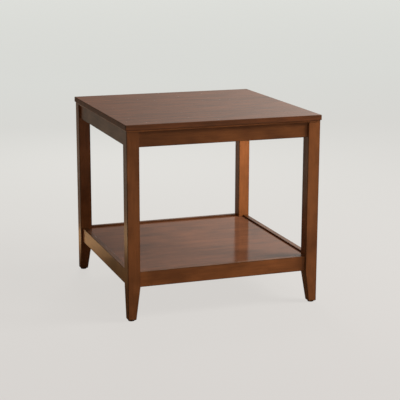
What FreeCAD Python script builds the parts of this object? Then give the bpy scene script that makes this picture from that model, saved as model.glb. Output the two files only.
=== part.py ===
import FreeCAD, Part

# End table with a shelf: four square legs that taper to the floor, an apron and a shelf rail on each
# side, a framed shelf and a thin overhanging top. Millimetres. X runs to the right along the front,
# Y runs to the back and Z is up. The origin is on the floor under the middle of the table.

import math
import os
import re

import Sketcher
from FreeCAD import Placement, Rotation, Vector

SIZES = {
    # the whole table
    "table_width": 609.6,
    "table_depth": 609.6,
    "table_height": 584.2,
    # top slab, and the thin panel under it that is flush with the legs
    "top_thickness": 15.9,
    "top_overhang": 3.2,
    "top_corner_round": 2.5,
    "top_edge_round": 1.5,
    "sub_top_thickness": 4.8,
    # legs
    "leg_side": 38.1,
    "leg_edge_round": 2.0,
    "foot_side": 25.4,
    "foot_bevel": 2.5,
    # aprons and shelf rails
    "rail_setback": 6.4,
    "rail_thickness": 15.9,
    "rail_edge_round": 1.0,
    "apron_height": 46.0,
    "shelf_rail_height": 46.0,
    "shelf_rail_bottom": 101.6,
    # shelf panel and the cleats that carry it
    "shelf_drop": 4.8,
    "shelf_thickness": 12.7,
    "shelf_gap": 0.3,
    "cleat_width": 15.0,
    "cleat_height": 18.0,
    "cleat_gap": 0.3,
    # dowels in the leg joints
    "dowel_diameter": 8.0,
    "dowel_spacing": 25.0,
    "dowel_in_leg": 16.0,
    "dowel_in_rail": 20.0,
    "dowel_chamfer": 1.0,
    "dowel_slack": 0.1,
    "dowel_end_gap": 0.5,
    # corner blocks behind the aprons
    "corner_flat": 7.0,
    "block_gap": 3.0,
    "block_thickness": 20.0,
    "block_height": 38.0,
    # hanger bolts, washers and nuts
    "bolt_diameter": 8.0,
    "bolt_in_leg": 28.0,
    "bolt_point": 5.0,
    "bolt_end_chamfer": 1.0,
    "bolt_proud": 5.0,
    "bolt_slack": 0.1,
    "bolt_clearance": 0.5,
    "washer_diameter": 22.0,
    "washer_thickness": 1.6,
    "nut_flats": 13.0,
    "nut_height": 6.5,
    # wood screws
    "screw_diameter": 4.0,
    "screw_head_diameter": 8.0,
    "screw_head_height": 2.6,
    "screw_head_crown": 5.6,
    "screw_head_rim": 1.0,
    "screw_point": 5.0,
    "screw_recess_width": 1.2,
    "screw_recess_span": 4.4,
    "screw_recess_depth": 1.4,
    "screw_slack": 0.15,
    "head_slack": 0.6,
    "tip_cover": 2.9,
    "tip_gap": 0.5,
    "top_screw_offset": 13.0,
    "top_screw_web": 22.0,
    "block_screw_reach": 65.0,
    "block_screw_drop": 12.0,
    "block_screw_web": 9.0,
    "cleat_screw_spacing": 190.0,
    "shelf_screw_spacing": 190.0,
    # glides and their nails
    "glide_diameter": 19.0,
    "glide_height": 3.2,
    "glide_edge_round": 0.8,
    "nail_diameter": 2.4,
    "nail_length": 16.0,
    "nail_point": 3.0,
    "nail_head_diameter": 6.0,
    "nail_head_height": 1.0,
    "nail_recess": 1.3,
    "nail_slack": 0.1,
}

# Distances worked out from the sizes, written as expressions of the sheet's aliases.
LEG_FACE_X = "(table_width / 2 - top_overhang)"
LEG_FACE_Y = "(table_depth / 2 - top_overhang)"
LEG_TOP = "(table_height - top_thickness - sub_top_thickness)"
APRON_BOTTOM = f"({LEG_TOP} - apron_height)"
RAIL_INNER = "(rail_setback + rail_thickness)"
SHELF_TOP = "(shelf_rail_bottom + shelf_rail_height - shelf_drop)"
SHELF_BOTTOM = f"({SHELF_TOP} - shelf_thickness)"
CLEAT_BOTTOM = f"({SHELF_BOTTOM} - cleat_height)"
CLEAT_LINE = f"({RAIL_INNER} + cleat_width / 2)"
DOWEL_LENGTH = "(dowel_in_leg + dowel_in_rail)"
DOWEL_HOLE = "(dowel_diameter / 2 + dowel_slack)"
SCREW_HOLE = "(screw_diameter / 2 + screw_slack)"
HEAD_HOLE = "(screw_head_diameter / 2 + head_slack)"
NAIL_HOLE = "(nail_diameter / 2 + nail_slack)"

# Along a corner's diagonal, from the leg's outer arris inwards to the middle of the table.
ROOT_2 = math.sqrt(2)
FLAT_AT = f"((2 * leg_side - corner_flat) / {ROOT_2})"
BLOCK_NEAR = f"({FLAT_AT} + block_gap)"
BLOCK_FAR = f"({BLOCK_NEAR} + block_thickness)"
BLOCK_MIDDLE = f"({BLOCK_NEAR} + block_thickness / 2)"
BOLT_HEIGHT = f"({LEG_TOP} - block_height / 2)"
BOLT_LENGTH = (
    "(bolt_in_leg + block_gap + block_thickness + washer_thickness + nut_height + bolt_proud)"
)

# The two top screws of a block stand either side of its bolt.
TOP_SCREW_A = f"(({BLOCK_MIDDLE} + top_screw_offset) / {ROOT_2})"
TOP_SCREW_B = f"(({BLOCK_MIDDLE} - top_screw_offset) / {ROOT_2})"
TOP_SCREW_LENGTH = "(top_screw_web + sub_top_thickness + top_thickness - tip_cover)"
BLOCK_SCREW_LENGTH = "(block_screw_web + rail_thickness - tip_cover)"
CLEAT_SCREW_LENGTH = "(cleat_width + rail_thickness - tip_cover)"
SHELF_SCREW_LENGTH = "(cleat_height + shelf_thickness - tip_cover)"

# Each side of the table: its turn about Z, the way its members run, and the size they run along.
SIDES = {
    "front": {"turn": 0, "run": (1, 0), "out": (0, -1), "along": "table_width"},
    "right": {"turn": 90, "run": (0, 1), "out": (1, 0), "along": "table_depth"},
    "back": {"turn": 180, "run": (-1, 0), "out": (0, 1), "along": "table_width"},
    "left": {"turn": 270, "run": (0, -1), "out": (-1, 0), "along": "table_depth"},
}

# Each corner: its turn about Z and the signs of its X and Y. A corner's own frame starts at the
# leg's outer arris on the floor, with X and Y running inwards.
CORNERS = {
    "front_left": {"turn": 0, "signs": (-1, -1)},
    "front_right": {"turn": 90, "signs": (1, -1)},
    "back_right": {"turn": 180, "signs": (1, 1)},
    "back_left": {"turn": 270, "signs": (-1, 1)},
}

# Lengths under TINY count as nothing, and a cut has to take away more than SMALLEST_CUT, in mm3.
TINY = 1e-6
SMALLEST_CUT = 1e-3

ALONG_X = Rotation(Vector(0, 1, 0), 90)
ALONG_MINUS_Y = Rotation(Vector(1, 0, 0), 90)
ALONG_DIAGONAL = Rotation(Vector(-1, 1, 0), 90)
UPRIGHT = Rotation()

doc = FreeCAD.newDocument("EndTable")
sheet = doc.addObject("Spreadsheet::Sheet", "Sizes")
for row, (size_name, size_value) in enumerate(SIZES.items(), 1):
    sheet.set(f"A{row}", size_name)
    sheet.set(f"B{row}", str(size_value))
    sheet.setAlias(f"B{row}", size_name)
doc.recompute()

nodes = []


def bound(expression):
    """The expression with every size name turned into a reference to the sheet."""
    return re.sub(
        r"[a-z]\w*", lambda m: f"Sizes.{m[0]}" if m[0] in SIZES else m[0], str(expression)
    )


def bind(thing, **expressions):
    """Binds properties of an object to expressions of the sizes."""
    for name, expression in expressions.items():
        thing.setExpression(name, bound(expression))


def place(thing, spot, turn):
    """Puts an object at a spot, three expressions, with a fixed rotation."""
    thing.Placement = Placement(Vector(), turn)
    for axis, expression in zip("xyz", spot):
        thing.setExpression(f"Placement.Base.{axis}", bound(expression))


def keep(thing):
    """Marks an object as a sub-part: its label names its file."""
    nodes.append(thing)
    return thing


def new_body(label):
    body = doc.addObject("PartDesign::Body", label)
    body.Label = label
    return body


def origin_plane(body, role):
    return next(f for f in body.Origin.OriginFeatures if f.Role == role)


def new_sketch(body, name, role="XY_Plane", offset=("0", "0", "0"), turn=UPRIGHT):
    """A sketch on one of the body's origin planes, moved by offset in that plane's own axes."""
    sketch = body.newObject("Sketcher::SketchObject", name)
    sketch.AttachmentSupport = [(origin_plane(body, role), "")]
    sketch.MapMode = "FlatFace"
    sketch.AttachmentOffset = Placement(Vector(), turn)
    for axis, expression in zip("xyz", offset):
        sketch.setExpression(f"AttachmentOffset.Base.{axis}", bound(expression))
    return sketch


def pin_point(sketch, geometry, point, spot):
    """Fixes a point of a sketch at a spot, two expressions, measured from the sketch's origin."""
    for kind, expression in zip(("DistanceX", "DistanceY"), spot):
        index = sketch.addConstraint(Sketcher.Constraint(kind, -1, 1, geometry, point, 1.0))
        sketch.setExpression(f"Constraints[{index}]", bound(expression))


def draw_polygon(sketch, corners):
    """A closed polygon whose corners are pairs of expressions."""
    first = sketch.GeometryCount
    count = len(corners)
    rough = [
        Vector(math.cos(2 * math.pi * i / count), math.sin(2 * math.pi * i / count), 0)
        for i in range(count)
    ]
    for i in range(count):
        sketch.addGeometry(Part.LineSegment(rough[i], rough[(i + 1) % count]))
    for i in range(count):
        following = first + (i + 1) % count
        sketch.addConstraint(Sketcher.Constraint("Coincident", first + i, 2, following, 1))
    for i, corner in enumerate(corners):
        pin_point(sketch, first + i, 1, corner)
    return sketch


def draw_rectangle(sketch, low, high):
    (x0, y0), (x1, y1) = low, high
    return draw_polygon(sketch, [(x0, y0), (x1, y0), (x1, y1), (x0, y1)])


def draw_circles(sketch, centres, radius):
    for centre in centres:
        geometry = sketch.addGeometry(Part.Circle(Vector(), Vector(0, 0, 1), 1.0))
        pin_point(sketch, geometry, 3, centre)
        index = sketch.addConstraint(Sketcher.Constraint("Radius", geometry, 1.0))
        sketch.setExpression(f"Constraints[{index}]", bound(radius))
    return sketch


def pad(body, name, sketch, length):
    feature = body.newObject("PartDesign::Pad", name)
    feature.Profile = sketch
    bind(feature, Length=length)
    doc.recompute()
    return feature


def pocket(body, name, sketch, depth, reverse=False):
    """Cuts a sketch into the body against the sketch's normal, or along it when reversed."""
    before = body.Shape.Volume
    feature = body.newObject("PartDesign::Pocket", name)
    feature.Profile = sketch
    feature.Reversed = reverse
    bind(feature, Length=depth)
    doc.recompute()
    if feature.Shape.Volume > before - SMALLEST_CUT:
        raise RuntimeError(f"{body.Label}: {name} removes nothing")
    return feature


def loft(body, name, first, second):
    feature = body.newObject("PartDesign::AdditiveLoft", name)
    feature.Profile = first
    feature.Sections = [second]
    feature.Ruled = True
    doc.recompute()
    return feature


def revolve(body, name, sketch):
    feature = body.newObject("PartDesign::Revolution", name)
    feature.Profile = sketch
    feature.ReferenceAxis = (sketch, ["V_Axis"])
    feature.Angle = 360
    doc.recompute()
    return feature


def mirror_across(body, name, feature, role):
    mirrored = body.newObject("PartDesign::Mirrored", name)
    mirrored.Originals = [feature]
    mirrored.MirrorPlane = (origin_plane(body, role), [""])
    body.Tip = mirrored
    doc.recompute()
    return mirrored


def fillet(body, name, radius, is_wanted):
    """Rounds the edges of the body that the test picks."""
    base = body.Tip
    picked = [f"Edge{i}" for i, edge in enumerate(base.Shape.Edges, 1) if is_wanted(edge)]
    feature = body.newObject("PartDesign::Fillet", name)
    feature.Base = (base, picked)
    bind(feature, Radius=radius)
    doc.recompute()
    return feature


def is_upright(edge):
    """True for an edge that climbs, plumb or leaning."""
    box = edge.BoundBox
    return box.ZLength > max(box.XLength, box.YLength)


def runs_along_x(edge):
    box = edge.BoundBox
    return box.XLength > box.YLength + box.ZLength and box.YLength < TINY and box.ZLength < TINY


def level_at(edge, height):
    box = edge.BoundBox
    return abs(box.ZMin - height) < TINY and abs(box.ZMax - height) < TINY


def times(sign, expression):
    """An expression with a sign in front, or 0."""
    return "0" if sign == 0 else f"({sign} * {expression})"


def corner_spot(corner, height="0"):
    """Where a corner's own frame starts, as three expressions."""
    sign_x, sign_y = corner["signs"]
    return times(sign_x, LEG_FACE_X), times(sign_y, LEG_FACE_Y), height


def side_spot(side, inward, height, shift="0"):
    """A point on a side: inward from the legs' outer faces, and shifted along the side's run."""
    out_x, out_y = side["out"]
    run_x, run_y = side["run"]
    x = f"{times(out_x, f'({LEG_FACE_X} - {inward})')} + {times(run_x, shift)}"
    y = f"{times(out_y, f'({LEG_FACE_Y} - {inward})')} + {times(run_y, shift)}"
    return x, y, height


def member_length(side):
    """Clear distance between the two legs of a side."""
    return f"({side['along']} - 2 * top_overhang - 2 * leg_side)"


def about_z(angle):
    return Rotation(Vector(0, 0, 1), angle)


def corner_point(corner, spot):
    """A spot of a corner's own frame, given as three expressions, in the table's frame."""
    inward_x, inward_y, height = spot
    sign_x, sign_y = corner["signs"]
    if corner["turn"] in (90, 270):
        inward_x, inward_y = inward_y, inward_x
    x = times(sign_x, f"({LEG_FACE_X} - {inward_x})")
    y = times(sign_y, f"({LEG_FACE_Y} - {inward_y})")
    return x, y, height


def group(label, pattern, spots):
    """One node of separate solids: a linked copy of the pattern piece at each spot and rotation."""
    links = []
    for number, (spot, turn) in enumerate(spots, 1):
        link = doc.addObject("App::Link", f"{label}_{number}")
        link.LinkedObject = pattern
        place(link, spot, turn)
        links.append(link)
    compound = doc.addObject("Part::Compound", label)
    compound.Label = label
    compound.Links = links
    doc.recompute()
    return keep(compound)


# ---- legs --------------------------------------------------------------------------------------


def make_leg(corner_name, corner):
    """Square post, tapered below the shelf rail on its two inner faces, with its joint holes."""
    body = new_body(f"leg_{corner_name}")
    bevel_top = "glide_height + foot_bevel"
    toe = draw_rectangle(
        new_sketch(body, "Toe", offset=("0", "0", "glide_height")),
        ("foot_bevel", "foot_bevel"),
        ("foot_side - foot_bevel", "foot_side - foot_bevel"),
    )
    foot = draw_rectangle(
        new_sketch(body, "Foot", offset=("0", "0", bevel_top)), ("0", "0"), ("foot_side", "foot_side")
    )
    post = draw_rectangle(
        new_sketch(body, "Post", offset=("0", "0", "shelf_rail_bottom")),
        ("0", "0"),
        ("leg_side", "leg_side"),
    )
    loft(body, "ToeBevel", toe, foot)
    loft(body, "Taper", foot, post)
    pad(body, "Shaft", post, f"{LEG_TOP} - shelf_rail_bottom")
    toe_height = SIZES["glide_height"] + SIZES["foot_bevel"]
    fillet(
        body, "Arrises", "leg_edge_round",
        lambda edge: is_upright(edge) and edge.BoundBox.ZMax > toe_height + TINY,
    )
    bore_leg(body)
    place(body, corner_spot(corner), about_z(corner["turn"]))
    return keep(body)


def bore_leg(body):
    """The flat for the corner block's bolt, the bolt's hole, the dowel holes and the nail hole."""
    past = "leg_side + block_gap"
    inside = "leg_side - corner_flat - block_gap"
    flat = draw_polygon(
        new_sketch(body, "CornerFlat", offset=("0", "0", LEG_TOP)),
        [(past, inside), (past, past), (inside, past)],
    )
    pocket(body, "CornerFlatCut", flat, "block_height + block_gap")
    across = f"{FLAT_AT} / {ROOT_2}"
    bolt = draw_circles(
        new_sketch(body, "Bolt", offset=(across, across, BOLT_HEIGHT), turn=ALONG_DIAGONAL),
        [("0", "0")],
        "bolt_diameter / 2 + bolt_slack",
    )
    pocket(body, "BoltHole", bolt, "bolt_in_leg + tip_gap")
    middle = "rail_setback + rail_thickness / 2"
    heights = [
        f"{bottom} + {height} / 2 + {sign} * dowel_spacing / 2"
        for bottom, height in ((APRON_BOTTOM, "apron_height"), ("shelf_rail_bottom", "shelf_rail_height"))
        for sign in (-1, 1)
    ]
    depth = "dowel_in_leg + dowel_end_gap"
    facing_x = new_sketch(body, "DowelsX", "YZ_Plane", ("0", "0", "leg_side"))
    draw_circles(facing_x, [(middle, height) for height in heights], DOWEL_HOLE)
    pocket(body, "DowelHolesX", facing_x, depth)
    facing_y = new_sketch(body, "DowelsY", "XZ_Plane", ("0", "0", "-leg_side"))
    draw_circles(facing_y, [(middle, height) for height in heights], DOWEL_HOLE)
    pocket(body, "DowelHolesY", facing_y, depth, reverse=True)
    nail = draw_circles(
        new_sketch(body, "Nail", offset=("0", "0", "glide_height")),
        [("foot_side / 2", "foot_side / 2")],
        NAIL_HOLE,
    )
    pocket(body, "NailHole", nail, "nail_length - glide_height + nail_recess + tip_gap", reverse=True)


# ---- aprons and shelf rails ----------------------------------------------------------------------


def make_board(label, side, height):
    """A straight member: X along its run from the middle, Y inwards from its outer face, Z up."""
    body = new_body(label)
    half = f"{member_length(side)} / 2"
    outline = draw_rectangle(new_sketch(body, "Outline"), (f"-{half}", "0"), (half, "rail_thickness"))
    pad(body, "Board", outline, height)
    return body


def bore_ends(body, side, height):
    """Two dowel holes in each end of a member."""
    end = new_sketch(body, "EndDowels", "YZ_Plane", ("0", "0", f"{member_length(side)} / 2"))
    centres = [
        ("rail_thickness / 2", f"{height} / 2 + {sign} * dowel_spacing / 2") for sign in (-1, 1)
    ]
    draw_circles(end, centres, DOWEL_HOLE)
    holes = pocket(body, "DowelHoles", end, "dowel_in_rail + dowel_end_gap")
    mirror_across(body, "DowelHolesBothEnds", holes, "YZ_Plane")


def bore_inner_face(body, name, centres, depth):
    """Blind screw holes from the member's inner face outwards."""
    sketch = new_sketch(body, name, "XZ_Plane", ("0", "0", "-rail_thickness"))
    draw_circles(sketch, centres, SCREW_HOLE)
    pocket(body, f"{name}Holes", sketch, depth, reverse=True)


def make_apron(side_name, side):
    body = make_board(f"apron_{side_name}", side, "apron_height")
    fillet(
        body, "LowerArrises", "rail_edge_round",
        lambda edge: runs_along_x(edge) and level_at(edge, 0),
    )
    bore_ends(body, side, "apron_height")
    reach = f"({member_length(side)} / 2 + leg_side - block_screw_reach)"
    centres = [(times(sign, reach), "apron_height - block_screw_drop") for sign in (-1, 1)]
    bore_inner_face(body, "BlockScrews", centres, "rail_thickness - tip_cover + tip_gap")
    place(body, side_spot(side, "rail_setback", APRON_BOTTOM), about_z(side["turn"]))
    return keep(body)


def make_shelf_rail(side_name, side):
    body = make_board(f"shelf_rail_{side_name}", side, "shelf_rail_height")
    fillet(body, "LongArrises", "rail_edge_round", runs_along_x)
    bore_ends(body, side, "shelf_rail_height")
    screw_height = f"{CLEAT_BOTTOM} + cleat_height / 2 - shelf_rail_bottom"
    centres = [(f"{step} * cleat_screw_spacing", screw_height) for step in (-1, 0, 1)]
    bore_inner_face(body, "CleatScrews", centres, "rail_thickness - tip_cover + tip_gap")
    place(body, side_spot(side, "rail_setback", "shelf_rail_bottom"), about_z(side["turn"]))
    return keep(body)


# ---- shelf and cleats ----------------------------------------------------------------------------


def make_cleat(side_name, side):
    """Batten inside a shelf rail that the shelf panel lies on and is screwed down to."""
    body = new_body(f"shelf_cleat_{side_name}")
    between_legs = f"{member_length(side)} / 2"
    between_cleats = f"({side['along']} / 2 - top_overhang - {RAIL_INNER} - cleat_width)"
    if side["run"][1]:
        half = f"(min({between_legs}; {between_cleats}) - cleat_gap)"
    else:
        half = f"({between_legs} - cleat_gap)"
    outline = draw_rectangle(new_sketch(body, "Outline"), (f"-{half}", "0"), (half, "cleat_width"))
    pad(body, "Batten", outline, "cleat_height")
    sideways = new_sketch(body, "RailScrews", "XZ_Plane", ("0", "0", "-cleat_width"))
    centres = [(f"{step} * cleat_screw_spacing", "cleat_height / 2") for step in (-1, 0, 1)]
    draw_circles(sideways, centres, SCREW_HOLE)
    pocket(body, "RailScrewHoles", sideways, "cleat_width", reverse=True)
    upward = new_sketch(body, "ShelfScrews", offset=("0", "0", "cleat_height"))
    centres = [(f"{sign} * shelf_screw_spacing / 2", "cleat_width / 2") for sign in (-1, 1)]
    draw_circles(upward, centres, SCREW_HOLE)
    pocket(body, "ShelfScrewHoles", upward, "cleat_height")
    place(body, side_spot(side, RAIL_INNER, CLEAT_BOTTOM), about_z(side["turn"]))
    return keep(body)


def make_shelf():
    """Panel inside the four rails, notched round the legs."""
    body = new_body("shelf_panel")
    edge_x = f"({LEG_FACE_X} - {RAIL_INNER} - shelf_gap)"
    edge_y = f"({LEG_FACE_Y} - {RAIL_INNER} - shelf_gap)"
    notch_x = f"({LEG_FACE_X} - leg_side - shelf_gap)"
    notch_y = f"({LEG_FACE_Y} - leg_side - shelf_gap)"
    corners = []
    for sign_x, sign_y in ((1, 1), (-1, 1), (-1, -1), (1, -1)):
        notch = [(edge_x, notch_y), (notch_x, notch_y), (notch_x, edge_y)]
        if sign_x != sign_y:
            notch.reverse()
        corners += [(times(sign_x, x), times(sign_y, y)) for x, y in notch]
    outline = draw_polygon(new_sketch(body, "Outline"), corners)
    pad(body, "Panel", outline, "shelf_thickness")
    screws = new_sketch(body, "CleatScrews")
    centres = [
        side_spot(side, CLEAT_LINE, "0", f"({sign} * shelf_screw_spacing / 2)")[:2]
        for side in SIDES.values()
        for sign in (-1, 1)
    ]
    draw_circles(screws, centres, SCREW_HOLE)
    pocket(body, "CleatScrewHoles", screws, "shelf_thickness - tip_cover + tip_gap", reverse=True)
    place(body, ("0", "0", SHELF_BOTTOM), UPRIGHT)
    return keep(body)


# ---- top -----------------------------------------------------------------------------------------


def top_screw_centres():
    """The two top screws of every corner block, in the table's frame."""
    return [
        corner_point(corner, (a, b, "0"))[:2]
        for corner in CORNERS.values()
        for a, b in ((TOP_SCREW_A, TOP_SCREW_B), (TOP_SCREW_B, TOP_SCREW_A))
    ]


def make_sub_top():
    body = new_body("sub_top")
    low = (f"-{LEG_FACE_X}", f"-{LEG_FACE_Y}")
    outline = draw_rectangle(new_sketch(body, "Outline"), low, (LEG_FACE_X, LEG_FACE_Y))
    pad(body, "Panel", outline, "sub_top_thickness")
    fillet(body, "Corners", "leg_edge_round", is_thickness_edge)
    screws = draw_circles(new_sketch(body, "TopScrews"), top_screw_centres(), SCREW_HOLE)
    pocket(body, "TopScrewHoles", screws, "sub_top_thickness", reverse=True)
    place(body, ("0", "0", LEG_TOP), UPRIGHT)
    return keep(body)


def is_thickness_edge(edge):
    box = edge.BoundBox
    return box.XLength < TINY and box.YLength < TINY


def make_top():
    body = new_body("table_top")
    high = ("table_width / 2", "table_depth / 2")
    low = ("-table_width / 2", "-table_depth / 2")
    outline = draw_rectangle(new_sketch(body, "Outline"), low, high)
    pad(body, "Slab", outline, "top_thickness")
    fillet(body, "Corners", "top_corner_round", is_thickness_edge)
    fillet(body, "Arrises", "top_edge_round", lambda edge: edge.BoundBox.ZLength < TINY)
    screws = draw_circles(new_sketch(body, "TopScrews"), top_screw_centres(), SCREW_HOLE)
    pocket(body, "TopScrewHoles", screws, "top_thickness - tip_cover + tip_gap", reverse=True)
    place(body, ("0", "0", "table_height - top_thickness"), UPRIGHT)
    return keep(body)


# ---- corner blocks -------------------------------------------------------------------------------


def make_corner_block(corner_name, corner):
    """Block across the corner behind the aprons: it takes the leg's bolt and holds the top down."""
    body = new_body(f"corner_block_{corner_name}")
    near = f"({ROOT_2} * {BLOCK_NEAR} - {RAIL_INNER})"
    far = f"({ROOT_2} * {BLOCK_FAR} - {RAIL_INNER})"
    outline = draw_polygon(
        new_sketch(body, "Outline"),
        [(near, RAIL_INNER), (far, RAIL_INNER), (RAIL_INNER, far), (RAIL_INNER, near)],
    )
    pad(body, "Block", outline, "block_height")
    face = f"{BLOCK_FAR} / {ROOT_2}"
    bolt = draw_circles(
        new_sketch(body, "Bolt", offset=(face, face, "block_height / 2"), turn=ALONG_DIAGONAL),
        [("0", "0")],
        "bolt_diameter / 2 + bolt_clearance",
    )
    pocket(body, "BoltHole", bolt, "block_thickness")
    centres = [(TOP_SCREW_A, TOP_SCREW_B), (TOP_SCREW_B, TOP_SCREW_A)]
    up = draw_circles(new_sketch(body, "TopScrews"), centres, SCREW_HOLE)
    pocket(body, "TopScrewHoles", up, "block_height", reverse=True)
    sunk = draw_circles(new_sketch(body, "TopScrewHeads"), centres, HEAD_HOLE)
    pocket(body, "TopScrewHeadHoles", sunk, "block_height - top_screw_web", reverse=True)
    height = "block_height - block_screw_drop"
    seat = f"{RAIL_INNER} + block_screw_web"
    for name, role, offset, reverse in (
        ("ScrewX", "YZ_Plane", "", False),
        ("ScrewY", "XZ_Plane", "-", True),
    ):
        out = new_sketch(body, name, role, ("0", "0", f"{offset}({seat})"))
        draw_circles(out, [("block_screw_reach", height)], SCREW_HOLE)
        pocket(body, f"{name}Hole", out, "block_screw_web", reverse)
        head = new_sketch(body, f"{name}Head", role, ("0", "0", f"{offset}({seat})"))
        draw_circles(head, [("block_screw_reach", height)], HEAD_HOLE)
        pocket(body, f"{name}HeadHole", head, "block_thickness", not reverse)
    spot = corner_spot(corner, f"{LEG_TOP} - block_height")
    place(body, spot, about_z(corner["turn"]))
    return keep(body)


# ---- fasteners: a pattern piece of each kind, head or start at the origin, pointing along Z ------


def make_dowel():
    body = new_body("dowel_pattern")
    outline = new_sketch(body, "Outline", "XZ_Plane")
    half = f"{DOWEL_LENGTH} / 2"
    radius = "dowel_diameter / 2"
    draw_polygon(
        outline,
        [
            ("0", f"-{half}"),
            (f"{radius} - dowel_chamfer", f"-{half}"),
            (radius, f"dowel_chamfer - {half}"),
            (radius, f"{half} - dowel_chamfer"),
            (f"{radius} - dowel_chamfer", half),
            ("0", half),
        ],
    )
    revolve(body, "Turned", outline)
    return body


def make_screw(label, length):
    """Pan-head wood screw with a cross recess, its head's seat at Z 0 and its point upwards."""
    body = new_body(label)
    shank = "screw_diameter / 2"
    head = "screw_head_diameter / 2"
    outline = draw_polygon(
        new_sketch(body, "Outline", "XZ_Plane"),
        [
            ("0", "-screw_head_height"),
            ("screw_head_crown / 2", "-screw_head_height"),
            (head, "-screw_head_rim"),
            (head, "0"),
            (shank, "0"),
            (shank, f"{length} - screw_point"),
            ("0", length),
        ],
    )
    revolve(body, "Turned", outline)
    arm = "screw_recess_width / 2"
    tip = "screw_recess_span / 2"
    cross = draw_polygon(
        new_sketch(body, "Cross", offset=("0", "0", "-screw_head_height")),
        [
            (tip, arm), (arm, arm), (arm, tip), (f"-{arm}", tip), (f"-{arm}", arm), (f"-{tip}", arm),
            (f"-{tip}", f"-{arm}"), (f"-{arm}", f"-{arm}"), (f"-{arm}", f"-{tip}"),
            (arm, f"-{tip}"), (arm, f"-{arm}"), (tip, f"-{arm}"),
        ],
    )
    pocket(body, "CrossRecess", cross, "screw_recess_depth", reverse=True)
    return body


def make_bolt():
    """Hanger bolt, its wood-screw point at Z 0."""
    body = new_body("bolt_pattern")
    radius = "bolt_diameter / 2"
    outline = draw_polygon(
        new_sketch(body, "Outline", "XZ_Plane"),
        [
            ("0", "0"),
            (radius, "bolt_point"),
            (radius, f"{BOLT_LENGTH} - bolt_end_chamfer"),
            (f"{radius} - bolt_end_chamfer", BOLT_LENGTH),
            ("0", BOLT_LENGTH),
        ],
    )
    revolve(body, "Turned", outline)
    return body


def make_washer():
    body = new_body("washer_pattern")
    ring = new_sketch(body, "Ring")
    draw_circles(ring, [("0", "0")], "washer_diameter / 2")
    draw_circles(ring, [("0", "0")], "bolt_diameter / 2 + bolt_slack")
    pad(body, "Disc", ring, "washer_thickness")
    return body


def make_nut():
    body = new_body("nut_pattern")
    corner_radius = f"nut_flats / 2 / {math.cos(math.pi / 6)}"
    outline = new_sketch(body, "Outline")
    hexagon = [
        (f"{math.cos(math.radians(a))} * {corner_radius}", f"{math.sin(math.radians(a))} * {corner_radius}")
        for a in range(0, 360, 60)
    ]
    draw_polygon(outline, hexagon)
    draw_circles(outline, [("0", "0")], "bolt_diameter / 2 + bolt_slack")
    pad(body, "Hexagon", outline, "nut_height")
    return body


def make_nail():
    """Flat-headed nail, the underside of its head at Z 0 and its point upwards."""
    body = new_body("nail_pattern")
    length = "nail_length"
    outline = draw_polygon(
        new_sketch(body, "Outline", "XZ_Plane"),
        [
            ("0", "-nail_head_height"),
            ("nail_head_diameter / 2", "-nail_head_height"),
            ("nail_head_diameter / 2", "0"),
            ("nail_diameter / 2", "0"),
            ("nail_diameter / 2", f"{length} - nail_point"),
            ("0", length),
        ],
    )
    revolve(body, "Turned", outline)
    return body


def make_glide(corner_name, corner):
    """Round plastic disc under a foot, with a recess for its nail's head."""
    body = new_body(f"glide_{corner_name}")
    disc = draw_circles(new_sketch(body, "Disc"), [("0", "0")], "glide_diameter / 2")
    pad(body, "Plate", disc, "glide_height")
    fillet(body, "Rim", "glide_edge_round", lambda edge: level_at(edge, 0))
    recess = new_sketch(body, "HeadRecess")
    draw_circles(recess, [("0", "0")], "nail_head_diameter / 2 + nail_slack")
    pocket(body, "HeadRecessCut", recess, "nail_recess", reverse=True)
    hole = draw_circles(new_sketch(body, "NailSketch"), [("0", "0")], NAIL_HOLE)
    pocket(body, "NailHole", hole, "glide_height", reverse=True)
    place(body, corner_point(corner, ("foot_side / 2", "foot_side / 2", "0")), about_z(corner["turn"]))
    return keep(body)


def dowel_spots(bottom, height):
    """A pair of dowels at both ends of every member of a ring, half in the leg and half in it."""
    spots = []
    inward = "(rail_setback + rail_thickness / 2)"
    middle = "(dowel_in_rail - dowel_in_leg) / 2"
    for side in SIDES.values():
        run_x, run_y = side["run"]
        along = ALONG_X if run_x else ALONG_MINUS_Y
        for end in (-1, 1):
            shift = f"({end} * ({member_length(side)} / 2 - {middle}))"
            for sign in (-1, 1):
                level = f"{bottom} + {height} / 2 + {sign} * dowel_spacing / 2"
                spots.append((side_spot(side, inward, level, shift), along))
    return spots


def diagonal_spots(distance):
    """The same place on every corner's diagonal at the bolts' height, facing inwards."""
    across = f"{distance} / {ROOT_2}"
    return [
        (corner_point(corner, (across, across, BOLT_HEIGHT)), about_z(corner["turn"]) * ALONG_DIAGONAL)
        for corner in CORNERS.values()
    ]


def outward_spots(inward, level, shifts):
    """Screws driven outwards from the inside of every side."""
    return [
        (side_spot(side, inward, level, shift), about_z(side["turn"]) * ALONG_MINUS_Y)
        for side in SIDES.values()
        for shift in shifts(side)
    ]


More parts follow.
